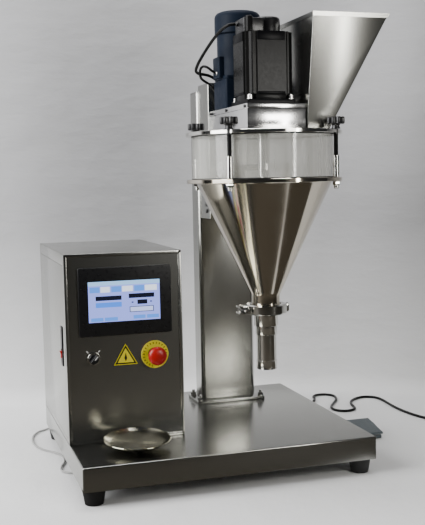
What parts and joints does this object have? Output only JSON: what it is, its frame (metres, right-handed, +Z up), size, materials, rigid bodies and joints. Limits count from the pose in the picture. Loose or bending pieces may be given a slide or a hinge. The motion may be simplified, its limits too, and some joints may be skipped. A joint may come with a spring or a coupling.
{
  "type": "auger powder filler",
  "caption": "Bench-top semi-automatic auger powder filler with a clear hopper, cone and nozzle on a column, a control box and a foot switch.",
  "frame": {"origin": "on the table under the middle of the machine and its foot switch, the cords left out", "axes": "+Z up, -Y the front with the touch screen, +X to the right seen from the front"},
  "size_m": [1.1179, 0.7106, 1.009],
  "materials": {
    "brushed_stainless": "brushed, semi-polished",
    "polished_stainless": "mirror polished",
    "satin_aluminium": "satin",
    "black_metal": "satin black",
    "black_plastic": "fine satin",
    "rubber": "matte",
    "blue_paint": "semi-gloss",
    "hammertone_paint": "hammertone",
    "red_plastic": "semi-gloss",
    "yellow_plastic": "satin",
    "clear_acrylic": "lightly frosted, clear"
  },
  "bodies": {
    "frame": {"base_pan": "brushed_stainless", "column_foot_plate": "brushed_stainless", "column_tube": "brushed_stainless", "mounting_head": "brushed_stainless", "hopper_lid": "brushed_stainless", "infeed_funnel": "brushed_stainless", "clamp_front_half": "brushed_stainless", "clamp_rear_half": "brushed_stainless", "enclosure_shell": "brushed_stainless", "front_panel": "brushed_stainless", "hopper_flange": "polished_stainless", "hopper_cone": "polished_stainless", "hopper_outlet": "polished_stainless", "nozzle_tube": "polished_stainless", "tie_rod_front_left": "polished_stainless", "tie_rod_front_right": "polished_stainless", "tie_rod_rear_left": "polished_stainless", "tie_rod_rear_right": "polished_stainless", "selector_bezel": "polished_stainless", "gear_housing": "satin_aluminium", "gear_housing_cover": "satin_aluminium", "equipment_plate": "satin_aluminium", "servo_motor": "black_metal", "servo_encoder_cap": "black_plastic", "servo_cable": "black_plastic", "motor_cable": "black_plastic", "hmi_panel": "black_plastic", "gland_plate": "black_plastic", "mains_plug": "black_plastic", "foot_switch_lead": "black_plastic", "foot_front_left": "rubber", "foot_front_right": "rubber", "foot_rear_left": "rubber", "foot_rear_right": "rubber", "drive_belt": "rubber", "mains_cord": "rubber", "mains_cord_coil": "rubber", "stirrer_gearhead": "blue_paint", "stirrer_motor": "blue_paint", "motor_fan_cover": "blue_paint", "foot_switch_base": "hammertone_paint", "estop_base": "yellow_plastic", "clear_cylinder": "clear_acrylic"},
    "auger": {"auger_screw": "polished_stainless"},
    "stirrer": {"stirrer": "polished_stainless", "stirrer_pulley": "satin_aluminium"},
    "motor_pulley": {"motor_pulley": "satin_aluminium"},
    "estop_button": {"estop_button": "red_plastic"},
    "selector_knob": {"selector_knob": "black_plastic"},
    "side_door": {"side_door": "brushed_stainless", "mains_switch_bezel": "black_plastic"},
    "mains_rocker": {"mains_rocker": "red_plastic"},
    "foot_switch_tread": {"foot_switch_tread": "hammertone_paint"},
    "clamp_swing_bolt": {"clamp_swing_bolt": "brushed_stainless"},
    "clamp_wing_nut": {"clamp_wing_nut": "black_metal"},
    "dish": {"dish": "polished_stainless"},
    "star_knob_front_left": {"star_knob_front_left": "black_plastic"},
    "star_knob_front_right": {"star_knob_front_right": "black_plastic"},
    "star_knob_rear_left": {"star_knob_rear_left": "black_plastic"},
    "star_knob_rear_right": {"star_knob_rear_right": "black_plastic"}
  },
  "joints": [
    {"name": "auger_spin", "type": "hinge", "parent": "frame", "child": "auger", "pos_m": [0.06328, -0.13665, 0.5], "axis": [0, 0, 1], "continuous": true},
    {"name": "stirrer_spin", "type": "hinge", "parent": "frame", "child": "stirrer", "pos_m": [0.06328, -0.13665, 0.7], "axis": [0, 0, 1], "continuous": true},
    {"name": "motor_pulley_spin", "type": "hinge", "parent": "frame", "child": "motor_pulley", "pos_m": [0.04428, -0.02965, 0.763], "axis": [0, 0, 1], "continuous": true},
    {"name": "estop_press", "type": "slide", "parent": "frame", "child": "estop_button", "axis": [0, 1, 0], "range_m": [0, 0.005], "stiffness_N_per_m": 300},
    {"name": "selector_turn", "type": "hinge", "parent": "frame", "child": "selector_knob", "pos_m": [-0.32472, -0.14365, 0.264], "axis": [0, 1, 0], "range_deg": [-80, 0]},
    {"name": "side_door_swing", "type": "hinge", "parent": "frame", "child": "side_door", "pos_m": [-0.38172, 0.25085, 0.278], "axis": [0, 0, 1], "range_deg": [-110, 0]},
    {"name": "mains_rocker_rock", "type": "hinge", "parent": "side_door", "child": "mains_rocker", "pos_m": [-0.37872, -0.08165, 0.271], "axis": [0, 1, 0], "range_deg": [0, 18]},
    {"name": "foot_switch_press", "type": "hinge", "parent": "frame", "child": "foot_switch_tread", "pos_m": [0.33628, 0.00735, 0.017], "axis": [1, 0, 0], "range_deg": [0, 3], "stiffness_Nm_per_rad": 5, "springref_deg": -5.73},
    {"name": "clamp_bolt_swing", "type": "hinge", "parent": "frame", "child": "clamp_swing_bolt", "pos_m": [0.00628, -0.12765, 0.349], "axis": [0, 0, 1], "range_deg": [-100, 0]},
    {"name": "clamp_wing_nut_spin", "type": "hinge", "parent": "clamp_swing_bolt", "child": "clamp_wing_nut", "pos_m": [0.00628, -0.15565, 0.349], "axis": [0, 1, 0], "continuous": true},
    {"name": "dish_lift", "type": "slide", "parent": "frame", "child": "dish", "axis": [0, 0, 1], "range_m": [0, 0.1]},
    {"name": "star_knob_front_left_spin", "type": "hinge", "parent": "frame", "child": "star_knob_front_left", "pos_m": [-0.05481, -0.25474, 0.751], "axis": [0, 0, 1], "continuous": true},
    {"name": "star_knob_front_right_spin", "type": "hinge", "parent": "frame", "child": "star_knob_front_right", "pos_m": [0.18136, -0.25474, 0.751], "axis": [0, 0, 1], "continuous": true},
    {"name": "star_knob_rear_left_spin", "type": "hinge", "parent": "frame", "child": "star_knob_rear_left", "pos_m": [-0.05481, -0.01856, 0.751], "axis": [0, 0, 1], "continuous": true},
    {"name": "star_knob_rear_right_spin", "type": "hinge", "parent": "frame", "child": "star_knob_rear_right", "pos_m": [0.18136, -0.01856, 0.751], "axis": [0, 0, 1], "continuous": true}
  ],
  "couplings": [
    {"joint": "motor_pulley_spin", "follows": "stirrer_spin", "ratio": 1.6667}
  ]
}
